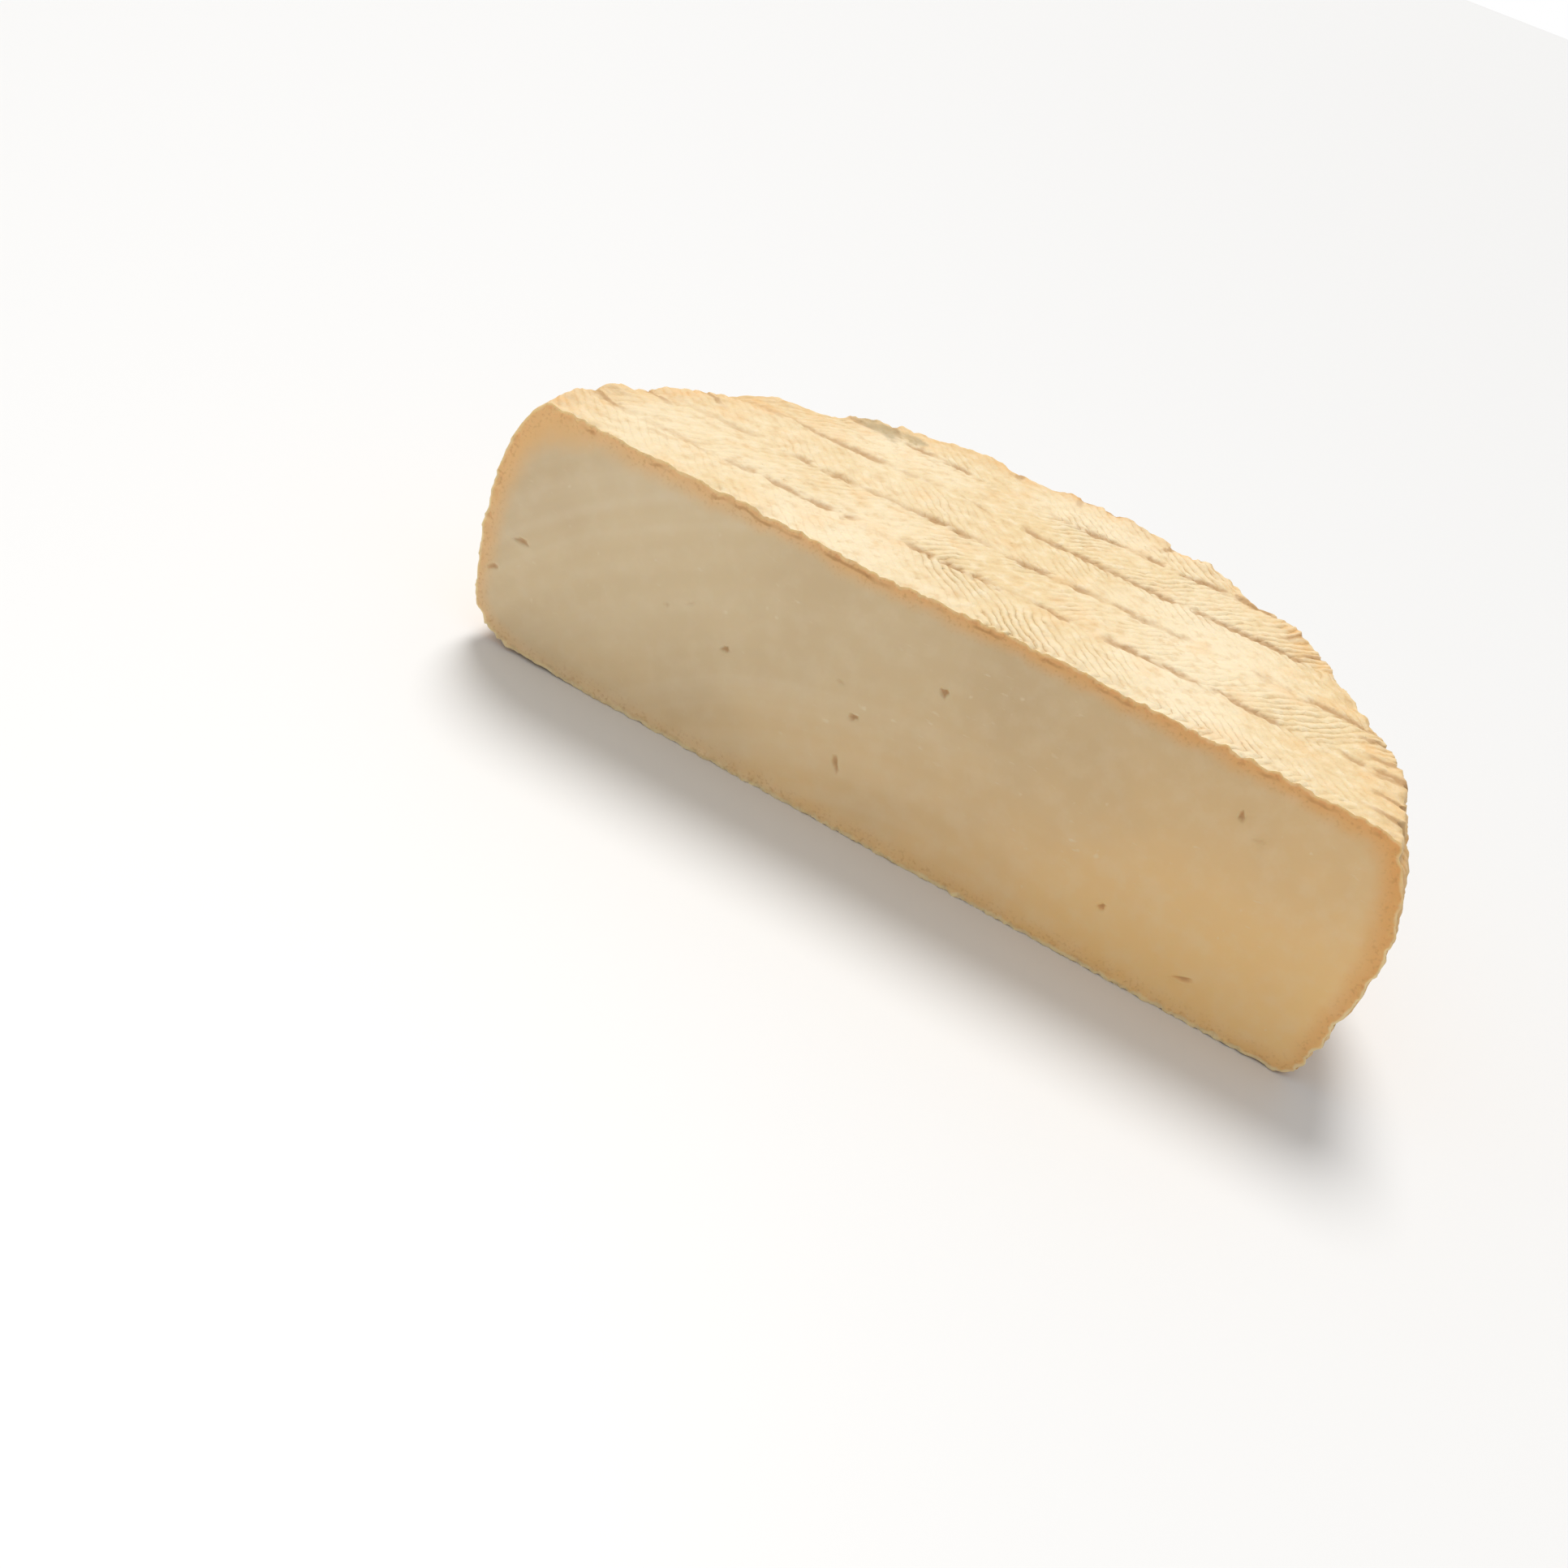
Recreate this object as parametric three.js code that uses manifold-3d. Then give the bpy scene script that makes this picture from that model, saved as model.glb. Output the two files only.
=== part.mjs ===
// Half of a small pressed cheese wheel, cut straight through the middle and
// lying flat on its lower rind. Millimetres, +Z up, the cut face looking
// towards -Y. The origin is the centre of the half wheel's footprint.

import * as THREE from 'three';
import { mergeVertices } from 'three/addons/utils/BufferGeometryUtils.js';
import Module from 'manifold-3d';

// Driving dimensions of the whole wheel
const BELLY_RADIUS = 115; // widest point, about half way up the side
const HEIGHT = 64.5; // between the two pressed faces
const BELLY_HEIGHT = 33; // level of the widest point
const TOP_RADIUS = 105.5; // crisp upper edge, left by the lid of the mould
const SHOULDER_POWER = 2.2; // how late the side curves in above the belly
const FOOT_TAPER = 5; // how far the side leans in below the belly
const FOOT_LEAN = THREE.MathUtils.degToRad(16); // slope of the side at the foot
const FOOT_ROUND = 7; // radius of the rounded lower corner

// Fineness of the faceted solid
const TURN_SEGMENTS = 128; // divisible by 4, so that facet edges lie on the cut
const SIDE_STEPS = 9;
const CORNER_STEPS = 5;
const MERGE_DISTANCE = 1e-4; // points closer than this are one point

const CUT_PLANE_Y = -BELLY_RADIUS / 2; // the wheel's axis lies on this plane
const CUTTER_MARGIN = 20; // how far the cutting block reaches past the wheel

const RIND_COLOUR = 0xecd2a0;
const RIND_ROUGHNESS = 0.75;

const wasm = await Module();
wasm.setup();

// The rounded lower corner ends where it reaches the slope of the side.
const CORNER_TURN = Math.PI / 2 - FOOT_LEAN;
const CORNER_HEIGHT = FOOT_ROUND * (1 - Math.cos(CORNER_TURN));

// The rounded lower corner, from the flat foot up to where the side begins.
function cornerPoints() {
  const cornerRadius = BELLY_RADIUS - FOOT_TAPER;
  const centreRadius = cornerRadius - FOOT_ROUND * Math.sin(CORNER_TURN);
  const points = [];
  for (let step = 0; step < CORNER_STEPS; step += 1) {
    const angle = (step / CORNER_STEPS) * CORNER_TURN;
    points.push(new THREE.Vector2(
      centreRadius + FOOT_ROUND * Math.sin(angle),
      FOOT_ROUND * (1 - Math.cos(angle)),
    ));
  }
  return points;
}

// The side from the rounded corner up to the belly. The power makes it leave
// the corner at the corner's own slope.
function footPoints() {
  const run = BELLY_HEIGHT - CORNER_HEIGHT;
  const power = (Math.tan(FOOT_LEAN) * run) / FOOT_TAPER;
  const points = [];
  for (let step = 0; step < SIDE_STEPS; step += 1) {
    const below = 1 - step / SIDE_STEPS;
    points.push(new THREE.Vector2(
      BELLY_RADIUS - FOOT_TAPER * below ** power,
      BELLY_HEIGHT - run * below,
    ));
  }
  return points;
}

// The side from the belly up to the crisp upper edge.
function shoulderPoints() {
  const run = HEIGHT - BELLY_HEIGHT;
  const points = [];
  for (let step = 0; step <= SIDE_STEPS; step += 1) {
    const above = step / SIDE_STEPS;
    points.push(new THREE.Vector2(
      BELLY_RADIUS - (BELLY_RADIUS - TOP_RADIUS) * above ** SHOULDER_POWER,
      BELLY_HEIGHT + run * above,
    ));
  }
  return points;
}

// The whole wheel, turned about a vertical axis that lies on the cut plane.
function wholeWheel() {
  const section = [
    new THREE.Vector2(0, 0),
    ...cornerPoints(),
    ...footPoints(),
    ...shoulderPoints(),
    new THREE.Vector2(0, HEIGHT),
  ];
  const wheel = new THREE.LatheGeometry(section, TURN_SEGMENTS);
  wheel.rotateX(Math.PI / 2);
  wheel.translate(0, CUT_PLANE_Y, 0);
  return wheel;
}

// A block that covers everything in front of the cut plane.
function frontBlock() {
  const width = 2 * (BELLY_RADIUS + CUTTER_MARGIN);
  const depth = BELLY_RADIUS + CUTTER_MARGIN;
  const height = HEIGHT + 2 * CUTTER_MARGIN;
  const block = new THREE.BoxGeometry(width, depth, height);
  block.translate(0, CUT_PLANE_Y - depth / 2, HEIGHT / 2);
  return block;
}

function toSolid(geometry) {
  const bare = geometry.clone();
  bare.deleteAttribute('normal');
  bare.deleteAttribute('uv');
  const merged = mergeVertices(bare, MERGE_DISTANCE);
  return new wasm.Manifold(new wasm.Mesh({
    numProp: 3,
    vertProperties: new Float32Array(merged.attributes.position.array),
    triVerts: new Uint32Array(merged.index.array),
  }));
}

function toGeometry(solid) {
  const mesh = solid.getMesh();
  const geometry = new THREE.BufferGeometry();
  geometry.setAttribute('position', new THREE.BufferAttribute(mesh.vertProperties, 3));
  geometry.setIndex(new THREE.BufferAttribute(mesh.triVerts, 1));
  geometry.computeVertexNormals();
  return geometry;
}

function makeHalfWheel() {
  const half = toSolid(wholeWheel()).subtract(toSolid(frontBlock()));
  const material = new THREE.MeshStandardMaterial({
    color: RIND_COLOUR,
    roughness: RIND_ROUGHNESS,
    metalness: 0,
  });
  const mesh = new THREE.Mesh(toGeometry(half), material);
  mesh.name = 'half_wheel';
  return mesh;
}

const cheese = new THREE.Group();
cheese.name = 'half_cheese_wheel';
cheese.add(makeHalfWheel());

export default cheese;
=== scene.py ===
"""Half of a small cheese wheel, pressed between plaited grass mats and cut through the middle.

It lies flat on its lower rind with the cut face towards -Y. Lengths are in millimetres, and MM
turns them into the frame's metres.
"""

import math

import bmesh
import bpy
import numpy as np
from mathutils import Matrix, Vector


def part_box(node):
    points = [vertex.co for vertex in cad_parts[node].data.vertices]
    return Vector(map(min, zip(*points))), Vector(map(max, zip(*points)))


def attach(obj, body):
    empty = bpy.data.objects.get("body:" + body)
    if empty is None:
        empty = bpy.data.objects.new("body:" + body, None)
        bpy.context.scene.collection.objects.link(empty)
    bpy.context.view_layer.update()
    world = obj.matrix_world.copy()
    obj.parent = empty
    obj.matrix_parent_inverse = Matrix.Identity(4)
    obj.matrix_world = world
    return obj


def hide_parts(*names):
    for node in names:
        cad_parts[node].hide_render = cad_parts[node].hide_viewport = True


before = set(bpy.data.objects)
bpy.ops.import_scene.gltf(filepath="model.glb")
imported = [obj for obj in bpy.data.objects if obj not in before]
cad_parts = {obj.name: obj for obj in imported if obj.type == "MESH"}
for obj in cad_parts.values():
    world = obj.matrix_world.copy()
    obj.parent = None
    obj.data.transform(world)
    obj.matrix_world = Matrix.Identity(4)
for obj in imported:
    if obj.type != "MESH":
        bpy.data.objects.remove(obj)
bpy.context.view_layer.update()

# ---------------------------------------------------------------------------
# The half wheel: one body of paste inside its own dried rind. The curd was
# pressed between two plaited mats and inside a plaited girdle, so the rind
# keeps their print; a wire then cut the wheel straight through the middle.
# ---------------------------------------------------------------------------

MM = 0.001
foot_corner, top_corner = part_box("half_wheel")
BELLY_RADIUS = (top_corner.x - foot_corner.x) / 2 / MM
HEIGHT = (top_corner.z - foot_corner.z) / MM
CUT_Y = foot_corner.y / MM

BELLY_LEVEL = 0.51  # share of the height where the side bulges most
SHOULDER_IN_RIGHT = 10.2  # how far the upper edge lies inside the belly
SHOULDER_IN_LEFT = 8.6
SHOULDER_CURVE_RIGHT = 1.7  # the side falls in gently on one side
SHOULDER_CURVE_LEFT = 2.7  # and late on the other
FOOT_IN = 4.8
CORNER_RADIUS_RIGHT = 3.0  # the lower corner is crisp on one side
CORNER_RADIUS_LEFT = 12.0  # and slumped on the other
CELL = 0.55  # spacing of the points that carry the relief

STRIP_WIDTH = 20.8  # the mats are made of plaited strips sewn side by side
STRIP_SLANT = 0.045  # and lie nearly along the cut
STRAND_PITCH = 2.9
STRAND_SKEW = 0.84  # sideways run of a strand for each millimetre across its strip
STRAND_BEAD = 7.0  # length of one visible stretch of a strand
SEAM_HALF_WIDTH = 2.6
TOP_SEAM = 0.9  # the upper mat's first seam lies this far behind the cut
FOOT_SEAM = 6.0  # and the lower mat's this far
GIRDLE_SEAM = -3.0  # level of the girdle's lowest seam, just below the foot
GIRDLE_SLANT = 0.02
FACE_BAND = 9.0  # the print of the upper and lower mats fades out over this height


class Field:
    """A number worked out by nodes, so that a formula in a node tree reads as one."""

    def __init__(self, tree, socket):
        self.tree = tree
        self.socket = socket

    def calc(self, operation, *terms):
        step = self.tree.nodes.new("ShaderNodeMath")
        step.operation = operation
        for slot, term in zip(step.inputs, (self, *terms)):
            feed(self.tree, slot, term)
        return Field(self.tree, step.outputs[0])

    def __add__(self, other):
        return self.calc("ADD", other)

    def __radd__(self, other):
        return self.calc("ADD", other)

    def __sub__(self, other):
        return self.calc("SUBTRACT", other)

    def __rsub__(self, other):
        return (self * -1).calc("ADD", other)

    def __mul__(self, other):
        return self.calc("MULTIPLY", other)

    def __rmul__(self, other):
        return self.calc("MULTIPLY", other)

    def __truediv__(self, other):
        return self.calc("DIVIDE", other)

    def __rtruediv__(self, other):
        return self.calc("POWER", -1.0) * other

    def __pow__(self, other):
        return self.calc("POWER", other)

    def least(self, other):
        return self.calc("MINIMUM", other)

    def most(self, other):
        return self.calc("MAXIMUM", other)

    def ramp(self, start, end):
        """0 below start, 1 above end, smooth between them."""
        step = self.tree.nodes.new("ShaderNodeMapRange")
        step.interpolation_type = "SMOOTHSTEP"
        feed(self.tree, step.inputs["Value"], self)
        feed(self.tree, step.inputs["From Min"], start)
        feed(self.tree, step.inputs["From Max"], end)
        return Field(self.tree, step.outputs["Result"])


def feed(tree, slot, value):
    if isinstance(value, Field):
        tree.links.new(value.socket, slot)
    elif isinstance(value, bpy.types.NodeSocket):
        tree.links.new(value, slot)
    else:
        slot.default_value = value


def vector_of(tree, x, y, z):
    join = tree.nodes.new("ShaderNodeCombineXYZ")
    for slot, term in zip(join.inputs, (x, y, z)):
        feed(tree, slot, term)
    return join.outputs[0]


def split(tree, vector):
    parts = tree.nodes.new("ShaderNodeSeparateXYZ")
    feed(tree, parts.inputs[0], vector)
    return [Field(tree, out) for out in parts.outputs]


def noise(tree, place, size, seed, detail=2.0):
    """Smooth noise from -0.5 to 0.5, with lumps of about this size in a pattern set by the seed."""
    lumps = tree.nodes.new("ShaderNodeTexNoise")
    lumps.noise_dimensions = "4D"
    feed(tree, lumps.inputs["Vector"], place)
    feed(tree, lumps.inputs["W"], seed)
    feed(tree, lumps.inputs["Scale"], 1 / size)
    lumps.inputs["Detail"].default_value = detail
    return Field(tree, lumps.outputs[0]) - 0.5


def plait_print(tree, along, across, slant, seed):
    """The print of plaited strips: its height from 0 to 1, and the seams between the strips."""
    place = vector_of(tree, along, across, 0.0)
    wander = noise(tree, place, 26.0, seed)
    row = (across - along * slant + wander * 5.0) / STRIP_WIDTH
    strip = row.calc("FLOOR")
    within = (row - strip) * STRIP_WIDTH
    lean = 1 - 2 * strip.calc("FLOORED_MODULO", 2.0)
    seam_gap = within.least(STRIP_WIDTH - within)
    ragged = noise(tree, place, 2.7, seed + 5.0, 3.0) * 5.0
    seam = 1 - (seam_gap + ragged).ramp(0.2, SEAM_HALF_WIDTH)
    bend = noise(tree, place, 16.0, seed + 3.0) * 5.5 + noise(tree, place, 5.0, seed + 7.0) * 2.6
    count = (along + lean * within * STRAND_SKEW + bend) / STRAND_PITCH
    strand = count.calc("FLOOR")
    ridge = (count * math.pi).calc("SINE").calc("ABSOLUTE") ** 0.65
    offset = strand.calc("FLOORED_MODULO", 2.0) * math.pi
    bead = (within * (2 * math.pi / STRAND_BEAD) + offset).calc("COSINE") * 0.5 + 0.5
    height = (ridge * 0.8 + bead * 0.2) * (1 + lean * 0.16) - lean * 0.08
    return height, seam


def top_print(tree, x, depth):
    return plait_print(tree, x, depth - TOP_SEAM, STRIP_SLANT, 11.0)


def side_print(tree, angle, level):
    return plait_print(tree, angle * BELLY_RADIUS, level - GIRDLE_SEAM, GIRDLE_SLANT, 73.0)


# The wire that cut the wheel swung round a point below it and left faint arcs
WIRE_X = BELLY_RADIUS * 0.15
WIRE_LEVEL = -HEIGHT * 1.5


def from_wire(x, level):
    """Distance from the point that the wire swung round."""
    across, up = x - WIRE_X, level - WIRE_LEVEL
    return (across * across + up * up) ** 0.5


# Where the lid lifted or broke the upper rim: angle round the wheel in degrees, width, depth
RIM_BREAKS = ((130, 5, 4), (60, 4, 3), (35, 12, 2), (100, 9, 1))

# Short dents where the girdle's knots bit into the rim, as angles round the wheel in degrees:
# a close row of them where the girdle was tied, and single ones further round
KNOT_SPACING = 5
RIM_DENTS = (*range(4, 28, KNOT_SPACING), 45, 50, 75, 90, 100, 120, 150, 160, 170)


def rim_dents(tree, degrees, reach, level):
    """1 in the dents across the upper rim, 0 elsewhere."""
    wander = noise(tree, vector_of(tree, degrees, reach, level), 5.0, 45.0) * 1.8
    dents = 0.0
    for middle in RIM_DENTS:
        dents = (1 - (degrees - middle + wander).calc("ABSOLUTE").ramp(0.2, 0.85)).most(dents)
    deep = noise(tree, vector_of(tree, degrees, 0.0, 0.0), 6.0, 46.0).ramp(-0.45, 0.0)
    on_rim = reach.ramp(BELLY_RADIUS - 20.0, BELLY_RADIUS - 14.0)
    return dents * deep * on_rim * level.ramp(HEIGHT - FACE_BAND, HEIGHT - 3.0)


def section_radius(tree, level, leftness):
    """Radius of the wheel at each level, with a crisp upper edge and a rounded lower corner."""
    belly = HEIGHT * BELLY_LEVEL
    above = ((level - belly) / (HEIGHT - belly)).most(0.0)
    below = ((belly - level) / belly).most(0.0)
    curve = leftness * (SHOULDER_CURVE_LEFT - SHOULDER_CURVE_RIGHT) + SHOULDER_CURVE_RIGHT
    shoulder_in = leftness * (SHOULDER_IN_LEFT - SHOULDER_IN_RIGHT) + SHOULDER_IN_RIGHT
    shoulder = above**curve * shoulder_in
    taper = below**1.6 * FOOT_IN
    corner = leftness * (CORNER_RADIUS_LEFT - CORNER_RADIUS_RIGHT) + CORNER_RADIUS_RIGHT
    rise = ((corner - level) / corner).most(0.0)
    rounding = corner * (1 - (1 - rise * rise).most(0.0) ** 0.5)
    return BELLY_RADIUS - shoulder - taper - rounding


def top_wear(tree, x, depth):
    """Where the lid's seams broke off, where its strands still show, and soft dabs of wear."""
    place = vector_of(tree, x, depth, 0.0)
    stretches = noise(tree, place, 22.0, 5.0).ramp(-0.11, 0.02)
    dashes = noise(tree, place, 7.0, 6.0).ramp(-0.14, -0.01)
    broken = stretches * dashes * (x.ramp(-95.0, -40.0) * 0.8 + 0.2) * depth.ramp(5.0, 10.0)
    shown = noise(tree, place, 26.0, 8.0).ramp(-0.08, 0.14) * (x.ramp(-75.0, 10.0) * 0.8 + 0.2)
    dabs = noise(tree, place, 4.2, 21.0, 3.0).ramp(0.13, 0.27)
    return broken, shown, dabs


def top_relief(tree, x, depth, edge_share):
    place = vector_of(tree, x, depth, 0.0)
    height, seam = top_print(tree, x, depth)
    broken, shown, dabs = top_wear(tree, x, depth)
    swell = noise(tree, place, 70.0, 2.0, 1.0) * 2.8 - 0.5
    lumps = noise(tree, place, 9.0, 14.0, 3.0) * 1.1
    grain = noise(tree, place, 2.8, 17.0, 3.0) * 1.0
    printed = (height - 0.5) * (shown * 0.45 + 0.14)
    rim_lumps = noise(tree, place, 11.0, 31.0, 2.0) * edge_share * 6.0
    near_cut = 1 - depth.ramp(0.0, 4.5)
    chips = noise(tree, place, 4.5, 41.0, 3.0) * near_cut * 3.2
    raised = swell + lumps + grain + printed + rim_lumps + chips
    return raised - dabs * 0.4 - seam * broken * 0.5


def foot_relief(tree, x, depth):
    place = vector_of(tree, x, depth, 40.0)
    height, seam = plait_print(tree, x, depth - FOOT_SEAM, -STRIP_SLANT, 57.0)
    lumps = noise(tree, place, 12.0, 61.0, 3.0) * 1.6
    arch = (1 - x.ramp(-100.0, -72.0)) * 2.2
    clear = (0.9 + arch + lumps - height * 1.9 + seam * 0.9).most(0.0)
    return clear * (depth.ramp(0.0, 5.0) * 0.5 + 0.5)


def side_wear(tree, angle, level):
    """Where the girdle's strands still show, and the knobs of curd that grew through it."""
    place = vector_of(tree, angle * BELLY_RADIUS, level, 90.0)
    shown = noise(tree, place, 24.0, 75.0).ramp(-0.14, 0.12)
    knobs = noise(tree, place, 3.8, 79.0, 2.0)
    return shown, knobs


def side_relief(tree, angle, level):
    height, seam = side_print(tree, angle, level)
    shown, knobs = side_wear(tree, angle, level)
    lumps = noise(tree, vector_of(tree, angle * BELLY_RADIUS, level, 90.0), 28.0, 83.0) * 3.0
    raised = (height - 0.5) * (shown * 0.38 + 0.12) + knobs * 3.3 - seam * (shown * 0.5 + 0.2)
    return raised * (1 - (angle / math.pi).ramp(0.9, 1.0) * 0.5) + lumps


def cut_relief(tree, x, level):
    """How far the wire's path wavers into the paste, along faint arcs round one centre."""
    place = vector_of(tree, x, level, 200.0)
    swing = vector_of(tree, from_wire(x, level), 0.0, 0.0)
    ripples = noise(tree, swing, 7.0, 91.0, 3.0) * 0.45
    waver = noise(tree, place, 30.0, 93.0, 2.0) * 0.7
    curds = noise(tree, place, 5.0, 97.0, 3.0) * 0.16
    return ripples + waver + curds


# The parts of the surface, as numbered on its faces
SIDE, CUT, TOP, FOOT = 0, 1, 2, 3


def body_tree(rind, paste):
    """Bends a finely divided block into the half wheel, and presses the relief into it."""
    tree = bpy.data.node_groups.new("half_wheel_body", "GeometryNodeTree")
    tree.interface.new_socket("Geometry", in_out="OUTPUT", socket_type="NodeSocketGeometry")
    names = ("Belly Radius", "Height", "Cell", "Relief")
    for name in names:
        tree.interface.new_socket(name, in_out="INPUT", socket_type="NodeSocketFloat")
    given = tree.nodes.new("NodeGroupInput")
    radius, height, cell, relief = (Field(tree, given.outputs[name]) for name in names)

    block = tree.nodes.new("GeometryNodeMeshCube")
    block.inputs["Size"].default_value = (2, 2, 2)
    feed(tree, block.inputs["Vertices X"], radius * 2 / cell)
    feed(tree, block.inputs["Vertices Y"], radius / cell)
    feed(tree, block.inputs["Vertices Z"], height / cell)

    block_x, block_y, block_z = split(tree, tree.nodes.new("GeometryNodeInputPosition").outputs[0])
    # The block's plan becomes a half disc, and its points crowd towards the foot.
    inward = (block_y + 1) * 0.5
    share_x = block_x * (1 - inward * inward * 0.5) ** 0.5
    share_y = inward * (1 - block_x * block_x * 0.5) ** 0.5
    level = height * ((block_z + 1) * 0.5).most(0.0) ** 1.4
    angle = share_y.calc("ARCTAN2", share_x)
    leftness = (angle / math.pi).ramp(0.35, 1.0)
    reach = section_radius(tree, level, leftness)
    edge_share = (share_x * share_x + share_y * share_y).ramp(0.84, 1.0)
    x = share_x * reach
    depth = share_y * reach

    near_top = level.ramp(height - FACE_BAND, height)
    near_foot = 1 - level.ramp(0.0, FACE_BAND)
    lift = near_top * top_relief(tree, x, depth, edge_share) * relief
    press = near_foot * foot_relief(tree, x, depth) * relief
    degrees = angle * (180 / math.pi)
    swell = side_relief(tree, angle, level) * relief
    swell = swell - rim_dents(tree, degrees, reach, level) * 1.5
    for middle, width, deep in RIM_BREAKS:
        gap = 1 - ((degrees - middle) / width).calc("ABSOLUTE").ramp(0.2, 1.0)
        swell = swell - gap * near_top * deep
    grown = 1 + swell * edge_share / reach
    new_level = (level + lift + press).most(0.0)
    on_cut = inward.calc("LESS_THAN", 1e-6)
    inside = level.least(height - level).least(reach - x.calc("ABSOLUTE")) * on_cut
    wavering = cut_relief(tree, x, level) * on_cut * inside.ramp(0.0, 3.0)
    crumbs = noise(tree, vector_of(tree, x, depth, level), 2.3, 99.0, 2.0) * 3.6
    crumbling = crumbs * (1 - (inside + depth).ramp(0.7, 2.6))
    new_y = depth * grown + CUT_Y + (wavering + crumbling) * relief
    new_place = vector_of(tree, x * grown * MM, new_y * MM, new_level * MM)

    _, facing_y, facing_z = split(tree, tree.nodes.new("GeometryNodeInputNormal").outputs[0])
    face_cut = facing_y.calc("LESS_THAN", -0.5)
    face_top = facing_z.calc("GREATER_THAN", 0.5)
    face_foot = facing_z.calc("LESS_THAN", -0.5)
    mark = tree.nodes.new("GeometryNodeStoreNamedAttribute")
    mark.data_type = "INT"
    mark.domain = "FACE"
    mark.inputs["Name"].default_value = "part"
    feed(tree, mark.inputs["Geometry"], block.outputs["Mesh"])
    feed(tree, mark.inputs["Value"], face_cut * CUT + face_top * TOP + face_foot * FOOT)

    bend = tree.nodes.new("GeometryNodeSetPosition")
    feed(tree, bend.inputs["Geometry"], mark.outputs[0])
    feed(tree, bend.inputs["Position"], new_place)

    smooth = tree.nodes.new("GeometryNodeSetShadeSmooth")
    feed(tree, smooth.inputs["Geometry"], bend.outputs[0])
    whole = tree.nodes.new("GeometryNodeRealizeInstances")
    feed(tree, whole.inputs[0], smooth.outputs[0])
    skin = tree.nodes.new("GeometryNodeSetMaterial")
    skin.inputs["Material"].default_value = rind
    feed(tree, skin.inputs["Geometry"], whole.outputs[0])
    part = tree.nodes.new("GeometryNodeInputNamedAttribute")
    part.data_type = "INT"
    part.inputs["Name"].default_value = "part"
    cut = Field(tree, part.outputs[0]).calc("COMPARE", CUT, 0.1)
    core = tree.nodes.new("GeometryNodeSetMaterial")
    core.inputs["Material"].default_value = paste
    feed(tree, core.inputs["Geometry"], skin.outputs[0])
    feed(tree, core.inputs["Selection"], cut)
    done = tree.nodes.new("NodeGroupOutput")
    feed(tree, done.inputs[0], core.outputs[0])
    return tree


def evaluated_copy(source, name):
    """The object's mesh with its modifiers applied, as a plain object of its own."""
    view = bpy.context.evaluated_depsgraph_get()
    mesh = bpy.data.meshes.new_from_object(source.evaluated_get(view), depsgraph=view)
    mesh.name = name
    # Shaping can leave an empty material slot in front.
    while mesh.materials and mesh.materials[0] is None:
        mesh.materials.pop(index=0)
    made = bpy.data.objects.new(name, mesh)
    bpy.context.scene.collection.objects.link(made)
    bpy.data.objects.remove(source)
    return made


# ---- Rind: cream and matt, golden at the rim and down the side --------------


def tint(red, green, blue):
    """A colour given by its screen values, 0 to 255, as the shader wants it."""
    shares = [value / 255 for value in (red, green, blue)]
    linear = [v / 12.92 if v <= 0.04045 else ((v + 0.055) / 1.055) ** 2.4 for v in shares]
    return (*linear, 1.0)


# The mix node's slots for colours, among its slots for other kinds of value
FIRST_COLOUR, SECOND_COLOUR, MIXED_COLOUR = 6, 7, 2


def mixed(tree, amount, first, second):
    """The first colour where amount is 0 and the second where it is 1."""
    blend = tree.nodes.new("ShaderNodeMix")
    blend.data_type = "RGBA"
    feed(tree, blend.inputs["Factor"], amount)
    feed(tree, blend.inputs[FIRST_COLOUR], first)
    feed(tree, blend.inputs[SECOND_COLOUR], second)
    return blend.outputs[MIXED_COLOUR]


def place_in_millimetres(tree):
    place = tree.nodes.new("ShaderNodeTexCoord").outputs["Object"]
    scale = tree.nodes.new("ShaderNodeVectorMath")
    scale.operation = "SCALE"
    scale.inputs["Scale"].default_value = 1 / MM
    feed(tree, scale.inputs[0], place)
    return scale.outputs[0]


def curd_texture_group():
    """The texture of pressed curd: broad clouds, lumps of curd and fine grain, at given sizes."""
    tree = bpy.data.node_groups.new("curd_texture", "ShaderNodeTree")
    tree.interface.new_socket("Place", in_out="INPUT", socket_type="NodeSocketVector")
    for name in ("Cloud Size", "Curd Size", "Grain Size", "Seed"):
        tree.interface.new_socket(name, in_out="INPUT", socket_type="NodeSocketFloat")
    for name in ("Clouds", "Curds", "Grain"):
        tree.interface.new_socket(name, in_out="OUTPUT", socket_type="NodeSocketFloat")
    given = tree.nodes.new("NodeGroupInput").outputs
    place = given["Place"]
    seed = Field(tree, given["Seed"])
    cloud_size, curd_size, grain_size = (
        Field(tree, given[name]) for name in ("Cloud Size", "Curd Size", "Grain Size")
    )
    made = tree.nodes.new("NodeGroupOutput").inputs
    feed(tree, made["Clouds"], noise(tree, place, cloud_size, seed, 3.0).ramp(-0.15, 0.15))
    feed(tree, made["Curds"], noise(tree, place, curd_size, seed + 2.0, 3.0))
    feed(tree, made["Grain"], noise(tree, place, grain_size, seed + 24.0, 3.0))
    return tree


CURD_TEXTURE = curd_texture_group()


def curd_texture(tree, place, cloud_size, curd_size, grain_size, seed):
    """Places the texture of pressed curd in a material, and gives its clouds, curds and grain."""
    texture = tree.nodes.new("ShaderNodeGroup")
    texture.node_tree = CURD_TEXTURE
    for slot, value in zip(texture.inputs, (place, cloud_size, curd_size, grain_size, seed)):
        feed(tree, slot, value)
    return [Field(tree, out) for out in texture.outputs]


def bumped(tree, height, distance):
    bump = tree.nodes.new("ShaderNodeBump")
    bump.inputs["Distance"].default_value = distance * MM
    feed(tree, bump.inputs["Height"], height)
    return bump.outputs["Normal"]


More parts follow.
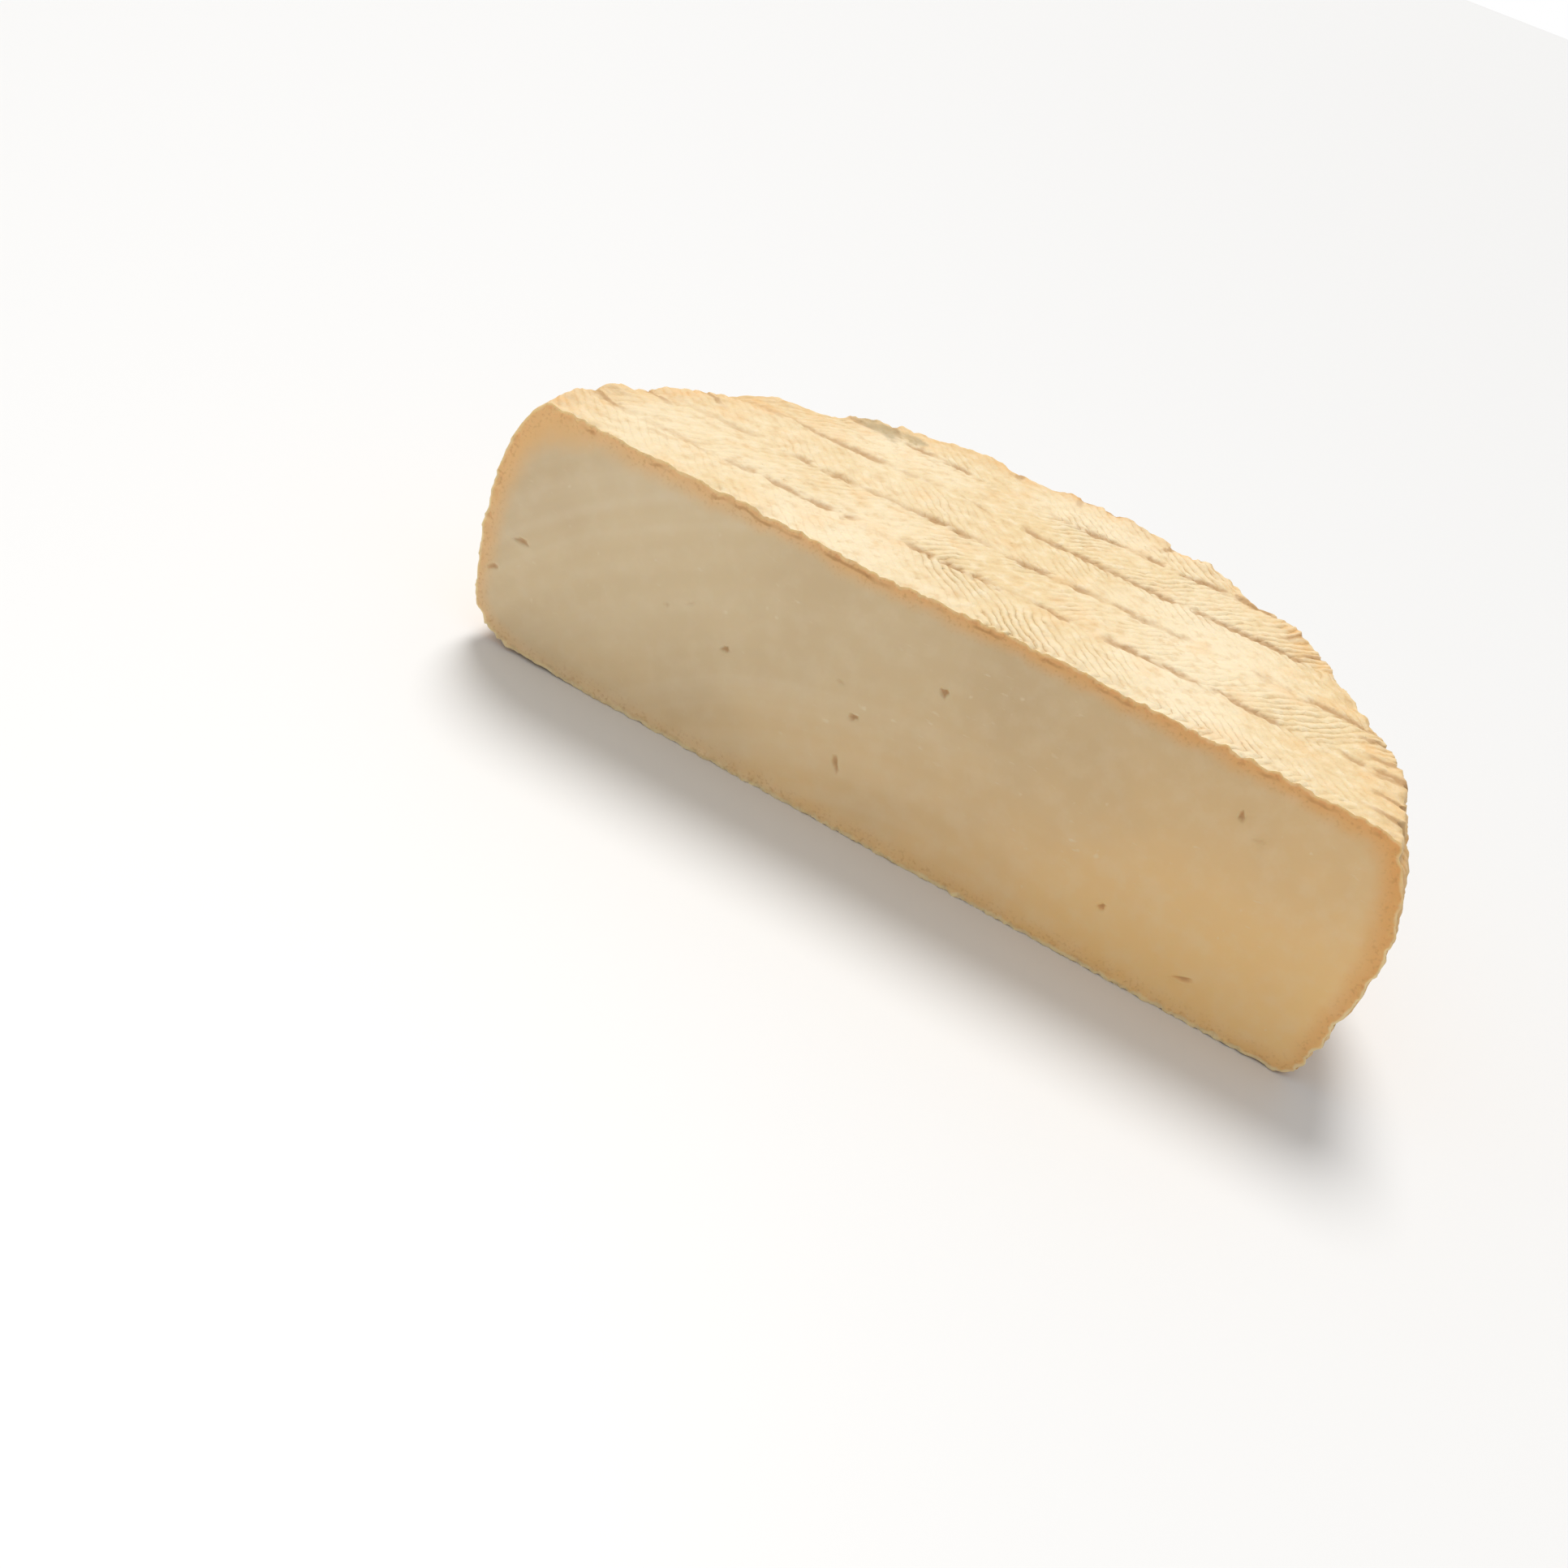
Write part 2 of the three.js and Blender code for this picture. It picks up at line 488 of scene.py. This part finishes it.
CREAM = tint(232, 206, 158)
PALE_CREAM = tint(242, 224, 188)
TAN = tint(214, 176, 122)
GOLD = tint(226, 178, 112)
ORANGE = tint(236, 186, 120)
SEAM_BROWN = tint(182, 138, 88)
DAB_AND_SHADE_BROWN = tint(188, 146, 94)
MOULD_GREY = tint(164, 144, 104)


def finish_rind(material):
    tree = material.node_tree
    shader = tree.nodes["Principled BSDF"]
    place = place_in_millimetres(tree)
    x, y, z = split(tree, place)
    depth = y - CUT_Y
    reach = (x * x + depth * depth) ** 0.5
    angle = depth.calc("ARCTAN2", x)
    upper = z.ramp(HEIGHT - FACE_BAND, HEIGHT - 2.0)
    lower = 1 - z.ramp(0.5, 5.0)
    side = (1 - upper) * (1 - lower)
    rim = reach.ramp(BELLY_RADIUS - 23.0, BELLY_RADIUS - 7.0)

    top_height, top_seam = top_print(tree, x, depth)
    side_height, side_seam = side_print(tree, angle, z)
    side_shown, side_knobs = side_wear(tree, angle, z)
    broken, shown, dabs = top_wear(tree, x, depth)
    dents = rim_dents(tree, angle * (180 / math.pi), reach, z)

    clouds, mottle, grain = curd_texture(
        tree, place, cloud_size=40.0, curd_size=3.2, grain_size=0.9, seed=103.0
    )
    blotches = noise(tree, place, 10.0, 101.0, 4.0).ramp(0.0, 0.2)
    specks = noise(tree, place, 1.6, 107.0, 2.0).ramp(0.14, 0.3)
    smear_x, smear_depth = BELLY_RADIUS * -0.45, BELLY_RADIUS * 0.75
    smear_gap = (((x - smear_x) / 10.0) ** 2.0 + ((depth - smear_depth) / 4.5) ** 2.0) ** 0.5
    mould = 1 - (smear_gap + noise(tree, place, 6.0, 109.0, 3.0) * 3.0).ramp(0.35, 1.3)

    base = mixed(tree, clouds, CREAM, PALE_CREAM)
    # Partly the rind's own tone and partly painted light: pale cream on the raised curds as painted
    # highlight, tan in the low ones as painted shade.
    base = mixed(tree, mottle.ramp(0.0, 0.18) * 0.7, base, PALE_CREAM)
    base = mixed(tree, (mottle * -1).ramp(0.0, 0.2) * 0.45, base, TAN)
    base = mixed(tree, (rim * 0.45 + side * 0.7 + lower * 0.4).least(1.0), base, GOLD)
    base = mixed(tree, blotches * (rim * 0.7 + 0.3), base, ORANGE)
    shows = shown * upper * 0.8 + side * (side_shown * 0.5 + 0.15) + upper * 0.15
    strands = Field(tree, mixed(tree, upper, side_height, top_height))
    # Partly the print's own tone and partly painted light: the strands' troughs are darkened to tan
    # as painted shade, and their crests lightened to pale cream as painted highlight.
    troughs = 1 - strands.ramp(0.1, 0.6)
    base = mixed(tree, troughs * shows * 0.48, base, TAN)
    base = mixed(tree, strands.ramp(0.55, 0.95) * shows * 0.55, base, PALE_CREAM)
    base = mixed(tree, top_seam * broken * upper * 0.8, base, SEAM_BROWN)
    base = mixed(tree, side_seam * side * 0.3, base, SEAM_BROWN)
    # Partly the rind's own tone and partly painted light: the side's knobs are paler as painted
    # highlight, and the hollows between them browner as painted shade.
    base = mixed(tree, side_knobs.ramp(-0.02, 0.2) * side * 0.6, base, CREAM)
    base = mixed(tree, (side_knobs * -1).ramp(0.0, 0.22) * side * 0.45, base, DAB_AND_SHADE_BROWN)
    base = mixed(tree, (dabs * upper * 0.4).most(specks * 0.2), base, DAB_AND_SHADE_BROWN)
    base = mixed(tree, dents * 0.7, base, SEAM_BROWN)
    base = mixed(tree, mould * upper * 0.65, base, MOULD_GREY)
    feed(tree, shader.inputs["Base Color"], base)

    gloss = noise(tree, place, 6.0, 113.0, 2.0)
    feed(tree, shader.inputs["Roughness"], gloss * 0.25 + 0.68)
    shader.inputs["Specular IOR Level"].default_value = 0.3
    shader.inputs["Subsurface Weight"].default_value = 0.12
    shader.inputs["Subsurface Radius"].default_value = (1.0, 0.6, 0.3)
    shader.inputs["Subsurface Scale"].default_value = 2.0 * MM
    print_height = strands * shows
    fine_relief = grain * 0.5 + mottle * 0.6 + print_height * 0.8 - specks * 0.3
    feed(tree, shader.inputs["Normal"], bumped(tree, fine_relief, 0.4))


# ---- Paste: close ivory curd, amber where it has dried under the rind -------

IVORY = tint(234, 210, 168)
DEEP_IVORY = tint(222, 196, 154)
SHADED_IVORY = tint(214, 184, 138)
BOUNCE_LIT_IVORY = tint(252, 208, 142)
AMBER = tint(238, 180, 108)
LEFT_LIT_AMBER = tint(248, 200, 136)
RIND_EDGE = tint(250, 222, 172)
EDGE_BROWN_AND_SHADOW = tint(186, 132, 74)
EYE_HOLLOW_SHADE = tint(204, 156, 104)
MILK = tint(250, 236, 208)

# Eyes and slits in the paste. Each is placed along the cut, as a share of the half width, and
# up it, as a share of the height. Then come its half length, half width, tilt and depth.
EYES = (
    (-0.90, 0.45, 2.0, 0.8, 0, 1.1),
    (-0.95, 0.30, 1.6, 0.7, 25, 0.9),
    (-0.55, 0.50, 0.9, 0.6, 10, 0.5),
    (-0.50, 0.55, 1.2, 0.4, 35, 0.4),
    (-0.40, 0.45, 1.1, 0.8, 20, 1.3),
    (-0.15, 0.55, 1.3, 0.5, -10, 0.5),
    (-0.10, 0.45, 1.3, 0.8, 15, 1.3),
    (-0.10, 0.25, 2.4, 0.7, -60, 1.3),
    (0.05, 0.70, 1.1, 1.0, 0, 1.5),
    (0.50, 0.25, 1.0, 0.8, 60, 1.3),
    (0.65, 0.80, 1.3, 0.7, -65, 1.2),
    (0.70, 0.75, 1.4, 0.5, 20, 0.4),
    (0.70, 0.15, 2.2, 0.7, 15, 1.0),
)
EYE_MARGIN = 1.2  # the cut is divided more finely this far past each eye's half length


def eye_place(eye):
    """An eye's x and height on the cut."""
    return eye[0] * BELLY_RADIUS, eye[1] * HEIGHT


def eye_share(x, z, eye):
    """1 in the middle of an eye, 0 at its lip and below 0 outside it, as arrays."""
    middle_x, middle_z = eye_place(eye)
    half_length, half_width, tilt = eye[2:5]
    turn = math.radians(tilt)
    along = (x - middle_x) * math.cos(turn) + (z - middle_z) * math.sin(turn)
    across = (z - middle_z) * math.cos(turn) - (x - middle_x) * math.sin(turn)
    swing = np.arctan2(across / half_width, along / half_length)
    ragged = 1 + 0.17 * np.sin(3 * swing + middle_x) + 0.1 * np.sin(5 * swing + middle_z)
    return 1 - np.hypot(along / half_length, across / half_width) / ragged


def read_numbers(items, name, width, kind=np.float32):
    values = np.empty(len(items) * width, kind)
    items.foreach_get(name, values)
    return values.reshape(-1, width) if width > 1 else values


def write_numbers(mesh, name, values):
    """Keeps one number for each point of the mesh, for the material to read."""
    kept = mesh.attributes.new(name, "FLOAT", "POINT")
    kept.data.foreach_set("value", values.astype(np.float32))


def divide_round_eyes(mesh):
    """Divides the cut face more finely round each eye."""
    centres = read_numbers(mesh.polygons, "center", 3) / MM
    cut = read_numbers(mesh.attributes["part"].data, "value", 1, np.int32) == CUT
    near = np.zeros(len(centres), bool)
    for eye in EYES:
        x, z = eye_place(eye)
        room = eye[2] + EYE_MARGIN
        near |= (abs(centres[:, 0] - x) < room) & (abs(centres[:, 2] - z) < room)
    form = bmesh.new()
    form.from_mesh(mesh)
    form.faces.ensure_lookup_table()
    edges = {edge for index in np.flatnonzero(near & cut) for edge in form.faces[index].edges}
    bmesh.ops.subdivide_edges(form, edges=list(edges), cuts=1, use_grid_fill=True)
    form.to_mesh(mesh)
    form.free()


def sink_eyes(mesh):
    """Presses each eye into the cut face and marks its hollow for the paste's painted shade."""
    points = read_numbers(mesh.vertices, "co", 3).astype(float) / MM
    on_cut = points[:, 1] < CUT_Y + 1.0
    hollow = np.zeros(len(points))
    for eye in EYES:
        deep = eye[5]
        share = eye_share(points[:, 0], points[:, 2], eye)
        bowl = np.sqrt(np.clip(share, 0, 1)) * on_cut
        lip = np.exp(-(((share + 0.25) / 0.2) ** 2)) * 0.12 * on_cut
        points[:, 1] += bowl * deep * 0.75 - lip
        hollow = np.maximum(hollow, bowl * min(deep, 1.0))
    mesh.vertices.foreach_set("co", (points * MM).astype(np.float32).ravel())
    write_numbers(mesh, "hollow", hollow)
    mesh.update()


FOLD_COSINE = -0.3  # two faces are folded where the cosine between their normals is below this
RELAXING_PASSES = 20


def relax_folds(mesh):
    """Smooths the few spots where the relief folded the surface back over itself."""
    form = bmesh.new()
    form.from_mesh(mesh)
    for _ in range(RELAXING_PASSES):
        form.normal_update()
        sharp = [
            edge
            for edge in form.edges
            if edge.link_faces[0].normal.dot(edge.link_faces[1].normal) < FOLD_COSINE
        ]
        folded = {point.index for edge in sharp for face in edge.link_faces for point in face.verts}
        if not folded:
            break
        form.verts.ensure_lookup_table()
        points = [form.verts[index] for index in sorted(folded)]
        bmesh.ops.smooth_vert(
            form, verts=points, factor=0.5, use_axis_x=True, use_axis_y=True, use_axis_z=True
        )
    form.to_mesh(mesh)
    form.free()


def edge_distances(points, starts, ends):
    """Distance from each point to the nearest of the straight stretches from starts to ends."""
    runs = ends - starts
    lengths = np.maximum((runs**2).sum(1), 1e-9)
    nearest = np.empty(len(points))
    batch = 500
    for first in range(0, len(points), batch):
        some = points[first : first + batch, None]
        share = np.clip(((some - starts) * runs).sum(2) / lengths, 0, 1)
        gaps = some - starts - runs * share[..., None]
        nearest[first : first + batch] = np.sqrt((gaps**2).sum(2).min(1))
    return nearest


PASTE_INDEX = 1  # the paste is the second of the mesh's two materials


def finish_outline(mesh):
    """Keeps the cut's outline crisp, and notes each of the cut's points' distance from it."""
    form = bmesh.new()
    form.from_mesh(mesh)
    outline = [e for e in form.edges if len({face.material_index for face in e.link_faces}) == 2]
    for edge in outline:
        edge.smooth = False
    ends = np.array([[list(point.co) for point in edge.verts] for edge in outline]) / MM
    paste_faces = [face for face in form.faces if face.material_index == PASTE_INDEX]
    cut_points = sorted({point.index for face in paste_faces for point in face.verts})
    form.to_mesh(mesh)
    form.free()
    points = read_numbers(mesh.vertices, "co", 3).astype(float)[:, ::2] / MM
    depths = np.zeros(len(points))
    depths[cut_points] = edge_distances(points[cut_points], ends[:, 0, ::2], ends[:, 1, ::2])
    write_numbers(mesh, "under_rind", depths)


def lay_out(mesh):
    """Unwraps each part of the surface flat, at one scale, one part above another."""
    part = read_numbers(mesh.attributes["part"].data, "value", 1, np.int32)
    corner_counts = read_numbers(mesh.polygons, "loop_total", 1, np.int32)
    part = np.repeat(part, corner_counts)
    vertex = read_numbers(mesh.loops, "vertex_index", 1, np.int32)
    x, y, z = (read_numbers(mesh.vertices, "co", 3).astype(float) / MM)[vertex].T
    depth = y - CUT_Y
    angle = np.arctan2(np.maximum(depth, 0), x)
    across = x + BELLY_RADIUS
    rows = (
        (CUT, across, z, HEIGHT),
        (TOP, across, depth, BELLY_RADIUS),
        (FOOT, across, depth, BELLY_RADIUS),
        (SIDE, angle * BELLY_RADIUS, z, HEIGHT),
    )
    gap = 4.0
    sheet = sum(row[3] for row in rows) + gap * (len(rows) + 1)
    places = np.zeros((len(vertex), 2))
    base = gap
    for number, sideways, up, tall in rows:
        here = part == number
        places[here, 0] = (sideways[here] + gap) / sheet
        places[here, 1] = (up[here] + base) / sheet
        base += tall + gap
    sheet_map = mesh.uv_layers.new(name="OFBake")
    sheet_map.uv.foreach_set("vector", places.astype(np.float32).ravel())


def mesh_number(tree, name):
    read = tree.nodes.new("ShaderNodeAttribute")
    read.attribute_name = name
    return Field(tree, read.outputs["Fac"])


def finish_paste(material):
    tree = material.node_tree
    shader = tree.nodes["Principled BSDF"]
    place = place_in_millimetres(tree)
    x, _, z = split(tree, place)
    under = mesh_number(tree, "under_rind")
    hollow = mesh_number(tree, "hollow")
    drift = noise(tree, place, 40.0, 95.0) * 6.0
    arcs = noise(tree, vector_of(tree, from_wire(x, z) + drift, 0.0, 0.0), 8.0, 91.0, 2.0)

    clouds, curds, grain = curd_texture(
        tree, place, cloud_size=45.0, curd_size=4.5, grain_size=1.2, seed=141.0
    )
    flecks = noise(tree, place, 2.6, 147.0, 1.0).ramp(0.22, 0.34)
    wander = noise(tree, place, 9.0, 149.0, 3.0) * 4.0
    end_share = (x.calc("ABSOLUTE") / BELLY_RADIUS).ramp(0.75, 1.0)
    upper_left = (1 - x.ramp(-95.0, -30.0)) * z.ramp(30.0, 60.0)
    corner_x, corner_z = BELLY_RADIUS * -0.9, HEIGHT * 0.95
    corner = 1 - (((x - corner_x) ** 2.0 + (z - corner_z) ** 2.0) ** 0.5).ramp(2.0, 14.0)
    crust = 3.0 + end_share * (z / HEIGHT) * 2.0 + upper_left * 1.2 + corner * 3.4
    dried = 1 - ((under + wander) / crust).ramp(0.3, 1.8)
    dried = dried * (z / HEIGHT * 0.6 + 0.2 + end_share * 0.28).least(0.95)
    edge_gap = under * (z.ramp(0.0, 12.0) * 0.4 + 0.7)
    edge_line = 1 - (edge_gap + noise(tree, place, 2.5, 151.0, 2.0) * 1.6).ramp(0.25, 0.9)
    edge_line = edge_line * (1 - z.ramp(25.0, 60.0) * 0.45)
    # Painted shadow: a thin brown line about 1.5 mm inside the outline, in patches, stands for the
    # shade under the rind's crumbly lip.
    line_gap = (under + noise(tree, place, 3.0, 155.0, 2.0) * 1.2 - 1.5).calc("ABSOLUTE")
    painted_shadow_line = 1 - line_gap.ramp(0.12, 0.6)
    streaked = 1 - x.ramp(-60.0, 70.0) * 0.75
    shadow_line_patches = noise(tree, place, 8.0, 153.0, 2.0).ramp(-0.06, 0.12) * z.ramp(20.0, 55.0)
    shadow_line_patches = shadow_line_patches * x.ramp(-104.0, -90.0) * (1 - x.ramp(96.0, 106.0))

    speckle = noise(tree, place, 0.8, 159.0, 2.0).ramp(0.02, 0.2)
    speckle = speckle * (1 - (under + wander).ramp(1.0, 6.0))
    # Painted light: the cut face turns warmer and lighter towards the lower right as painted warm
    # bounce light.
    painted_bounce_light = (x / BELLY_RADIUS * 0.45 - z / HEIGHT * 0.65 + clouds * 0.15 + 0.42).ramp(0.0, 0.8)
    # Painted shade: the cut face is darker and tanner towards the upper right.
    painted_upper_shade = x.ramp(-80.0, 70.0) * z.ramp(5.0, 55.0) * 0.75
    scored = noise(tree, vector_of(tree, x * 0.35, 0.0, z), 1.4, 161.0, 3.0).ramp(0.11, 0.28)
    scored = scored * noise(tree, place, 14.0, 163.0).ramp(0.02, 0.1) * under.ramp(5.0, 9.0)
    base = mixed(tree, clouds, DEEP_IVORY, IVORY)
    base = mixed(tree, painted_upper_shade, base, SHADED_IVORY)
    base = mixed(tree, painted_bounce_light, base, BOUNCE_LIT_IVORY)
    base = mixed(tree, arcs.ramp(-0.05, 0.25) * streaked * 0.24, base, MILK)
    base = mixed(tree, (arcs * -1).ramp(0.0, 0.25) * streaked * 0.4, base, DEEP_IVORY)
    base = mixed(tree, curds.ramp(-0.1, 0.25) * 0.14, base, MILK)
    base = mixed(tree, (flecks * 0.4).most(scored * 0.5), base, MILK)
    # The dried amber is the paste's own colour; its blend from pale on the left to deeper on the
    # right is painted light, lighter towards the left end.
    base = mixed(tree, dried, base, mixed(tree, x.ramp(-90.0, 60.0), LEFT_LIT_AMBER, AMBER))
    base = mixed(tree, painted_shadow_line * shadow_line_patches * 0.55, base, EDGE_BROWN_AND_SHADOW)
    # Brown specks near the rind, in the same brown as the painted shadow line.
    base = mixed(tree, speckle * 0.3, base, EDGE_BROWN_AND_SHADOW)
    base = mixed(tree, edge_line * 0.9, base, RIND_EDGE)
    # Painted shade: the eye hollows are darkened towards brown, more where they are deeper.
    base = mixed(tree, hollow.ramp(0.1, 0.9) * 0.6, base, EYE_HOLLOW_SHADE)
    feed(tree, shader.inputs["Base Color"], base)

    feed(tree, shader.inputs["Roughness"], curds * 0.2 + dried * 0.12 + 0.5)
    shader.inputs["Specular IOR Level"].default_value = 0.35
    shader.inputs["Subsurface Weight"].default_value = 0.3
    shader.inputs["Subsurface Radius"].default_value = (1.0, 0.65, 0.35)
    shader.inputs["Subsurface Scale"].default_value = 3.0 * MM
    fine_relief = grain * 0.4 + curds * 0.6 + scored * 0.5
    feed(tree, shader.inputs["Normal"], bumped(tree, fine_relief, 0.12))


# ---- The body is shaped, its eyes are sunk, and it is thinned ---------------

rind = bpy.data.materials.new("mat_printed_rind")
paste = bpy.data.materials.new("cut_paste")
rind.use_nodes = True
paste.use_nodes = True
finish_rind(rind)
finish_paste(paste)

blank = bpy.data.objects.new("blank", bpy.data.meshes.new("blank"))
bpy.context.scene.collection.objects.link(blank)
shaping = blank.modifiers.new("shape", "NODES")
shaping.node_group = body_tree(rind, paste)
sizes = {"Belly Radius": BELLY_RADIUS, "Height": HEIGHT, "Cell": CELL, "Relief": 1.0}
for slot in shaping.node_group.interface.items_tree:
    if slot.name in sizes:
        shaping[slot.identifier] = sizes[slot.name]
dense = evaluated_copy(blank, "half_wheel_dense")
divide_round_eyes(dense.data)
sink_eyes(dense.data)

TRIANGLES = 190_000
thin = dense.modifiers.new("thin", "DECIMATE")
dense_triangles = sum(len(face.vertices) - 2 for face in dense.data.polygons)
thin.ratio = TRIANGLES / dense_triangles
half_wheel = evaluated_copy(dense, "cheese_half_wheel")
relax_folds(half_wheel.data)
finish_outline(half_wheel.data)
lay_out(half_wheel.data)

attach(half_wheel, "root")
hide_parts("half_wheel")

# ---------------------------------------------------------------------------
# Floor, light and camera: a pale floor in a white studio, one soft light from
# behind and to the left, and a camera that looks down on the cut face.
# ---------------------------------------------------------------------------

FLOOR_HALF_WIDTH = 9000 * MM
FLOOR_PALENESS = 0.83
floor_mesh = bpy.data.meshes.new("floor")
floor_corners = [
    (FLOOR_HALF_WIDTH * across, FLOOR_HALF_WIDTH * along, 0)
    for across, along in ((-1, -1), (1, -1), (1, 1), (-1, 1))
]
floor_mesh.from_pydata(floor_corners, [], [(0, 1, 2, 3)])
floor = bpy.data.objects.new("floor", floor_mesh)
bpy.context.scene.collection.objects.link(floor)
floor_paint = bpy.data.materials.new("pale_floor")
floor_paint.use_nodes = True
floor_shader = floor_paint.node_tree.nodes["Principled BSDF"]
pale = (FLOOR_PALENESS, FLOOR_PALENESS, FLOOR_PALENESS, 1)
floor_shader.inputs["Base Color"].default_value = pale
floor_mesh.materials.append(floor_paint)

# The studio is white to look at and shines at part of that strength.
STUDIO_SHINE = 0.54
world = bpy.data.worlds.new("studio")
world.use_nodes = True
sky = world.node_tree.nodes["Background"]
sky.inputs["Color"].default_value = (1, 1, 1, 1)
seen = world.node_tree.nodes.new("ShaderNodeLightPath").outputs["Is Camera Ray"]
shine = Field(world.node_tree, seen) * (1 - STUDIO_SHINE) + STUDIO_SHINE
feed(world.node_tree, sky.inputs["Strength"], shine)
bpy.context.scene.world = world
bpy.context.scene.view_settings.view_transform = "Standard"


def soft_sun(name, place, strength, width, colour):
    """A far soft light shining from this direction, spread over this many degrees."""
    lamp = bpy.data.lights.new(name, "SUN")
    lamp.energy = strength
    lamp.angle = math.radians(width)
    lamp.color = colour
    holder = bpy.data.objects.new(name, lamp)
    holder.location = place
    holder.rotation_euler = (-Vector(place)).to_track_quat("-Z", "Y").to_euler()
    bpy.context.scene.collection.objects.link(holder)


soft_sun("key", place=(-0.5, 0.75, 1.5), strength=2.25, width=24, colour=(1, 0.985, 0.96))

# The camera stands to the right of the cut face and looks down on it, rolled to the left.
CAMERA_AZIMUTH = math.radians(15.2)
CAMERA_ELEVATION = math.radians(30.1)
CAMERA_ROLL = math.radians(20.9)
CAMERA_DISTANCE = 420
CAMERA_AIM_X = -21.2
CAMERA_AIM_LEVEL = 4.6
camera_data = bpy.data.cameras.new("camera")
camera_data.sensor_width = 36
camera_data.lens = 40.8
camera = bpy.data.objects.new("camera", camera_data)
bpy.context.scene.collection.objects.link(camera)
aim = Vector((CAMERA_AIM_X * MM, CUT_Y * MM, CAMERA_AIM_LEVEL * MM))
back = Vector(
    (
        math.sin(CAMERA_AZIMUTH) * math.cos(CAMERA_ELEVATION),
        -math.cos(CAMERA_AZIMUTH) * math.cos(CAMERA_ELEVATION),
        math.sin(CAMERA_ELEVATION),
    )
)
turn = (-back).to_track_quat("-Z", "Y").to_matrix() @ Matrix.Rotation(CAMERA_ROLL, 3, "Z")
camera.matrix_world = Matrix.Translation(aim + back * (CAMERA_DISTANCE * MM)) @ turn.to_4x4()
bpy.context.scene.camera = camera
